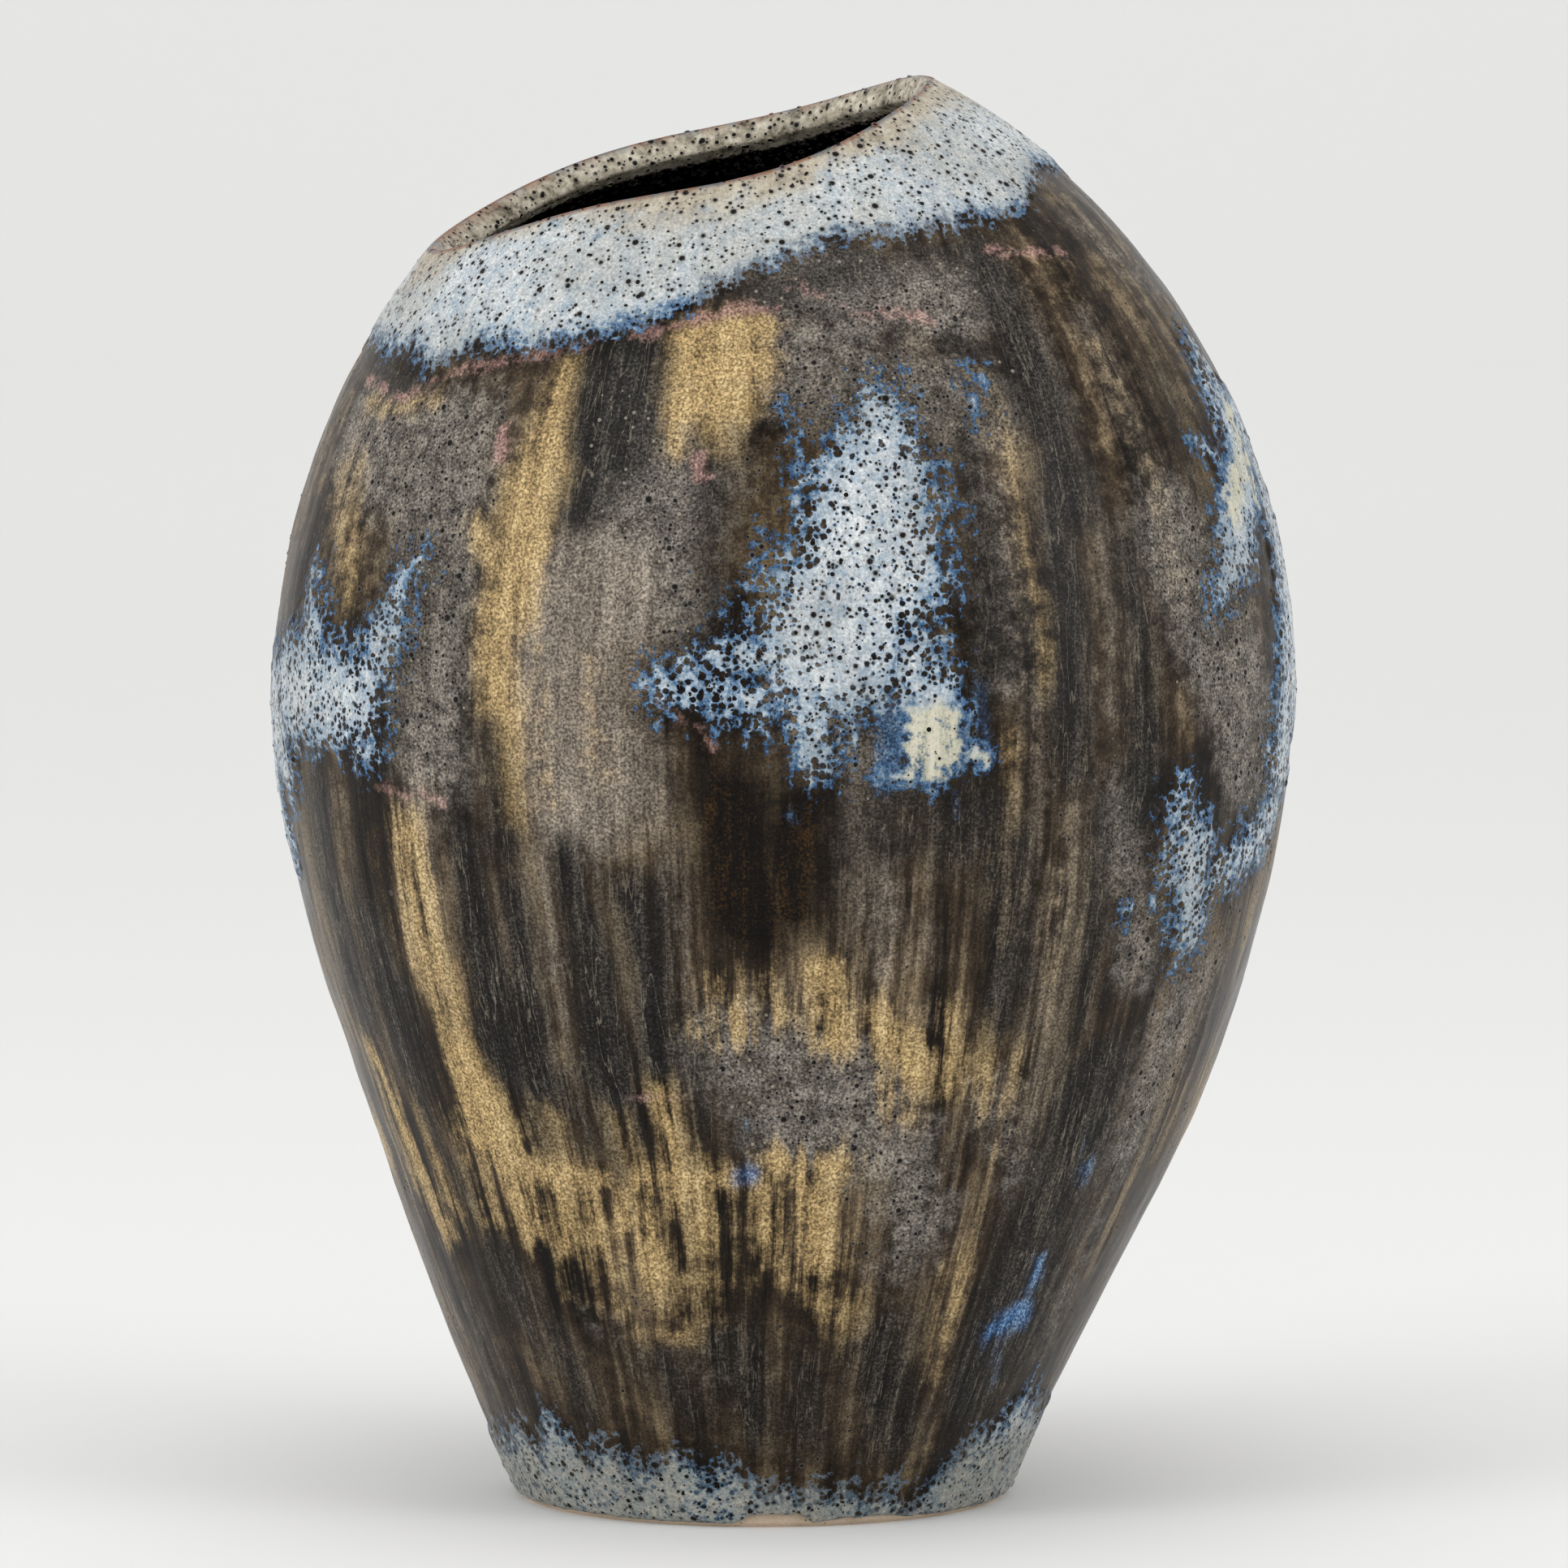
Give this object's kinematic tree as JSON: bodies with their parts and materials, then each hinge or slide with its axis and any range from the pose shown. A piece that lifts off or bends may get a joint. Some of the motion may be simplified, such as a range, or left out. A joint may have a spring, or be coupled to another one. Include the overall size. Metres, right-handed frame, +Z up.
{
  "type": "vase",
  "caption": "Tall stoneware vase with a narrow round foot, a wide oval belly, a domed shoulder and a slanted, gently rolling mouth.",
  "frame": {"origin": "on the standing plane, below the middle of the belly", "axes": "+Z up, +X towards the high side of the mouth, -Y the front"},
  "size_m": [0.237, 0.2084, 0.3289],
  "materials": {
    "bare_stoneware": "unglazed stoneware clay, wiped clean at the foot",
    "black_liner_glaze": "glossy black liner glaze",
    "brown_reactive_glaze": "semi-gloss brown reactive glaze with gold and charcoal runs",
    "pale_blue_glaze": "thick pale-blue glaze, pinholed, with deep-blue edges"
  },
  "bodies": {
    "root": {"foot_ring": "bare_stoneware", "clay_floor": "bare_stoneware", "clay_wall": "bare_stoneware", "liner_glaze": "black_liner_glaze", "brown_glaze": "brown_reactive_glaze", "collar_glaze": "pale_blue_glaze", "foot_glaze": "pale_blue_glaze", "front_splash": "pale_blue_glaze", "left_splash": "pale_blue_glaze", "right_splash": "pale_blue_glaze"}
  },
  "joints": []
}
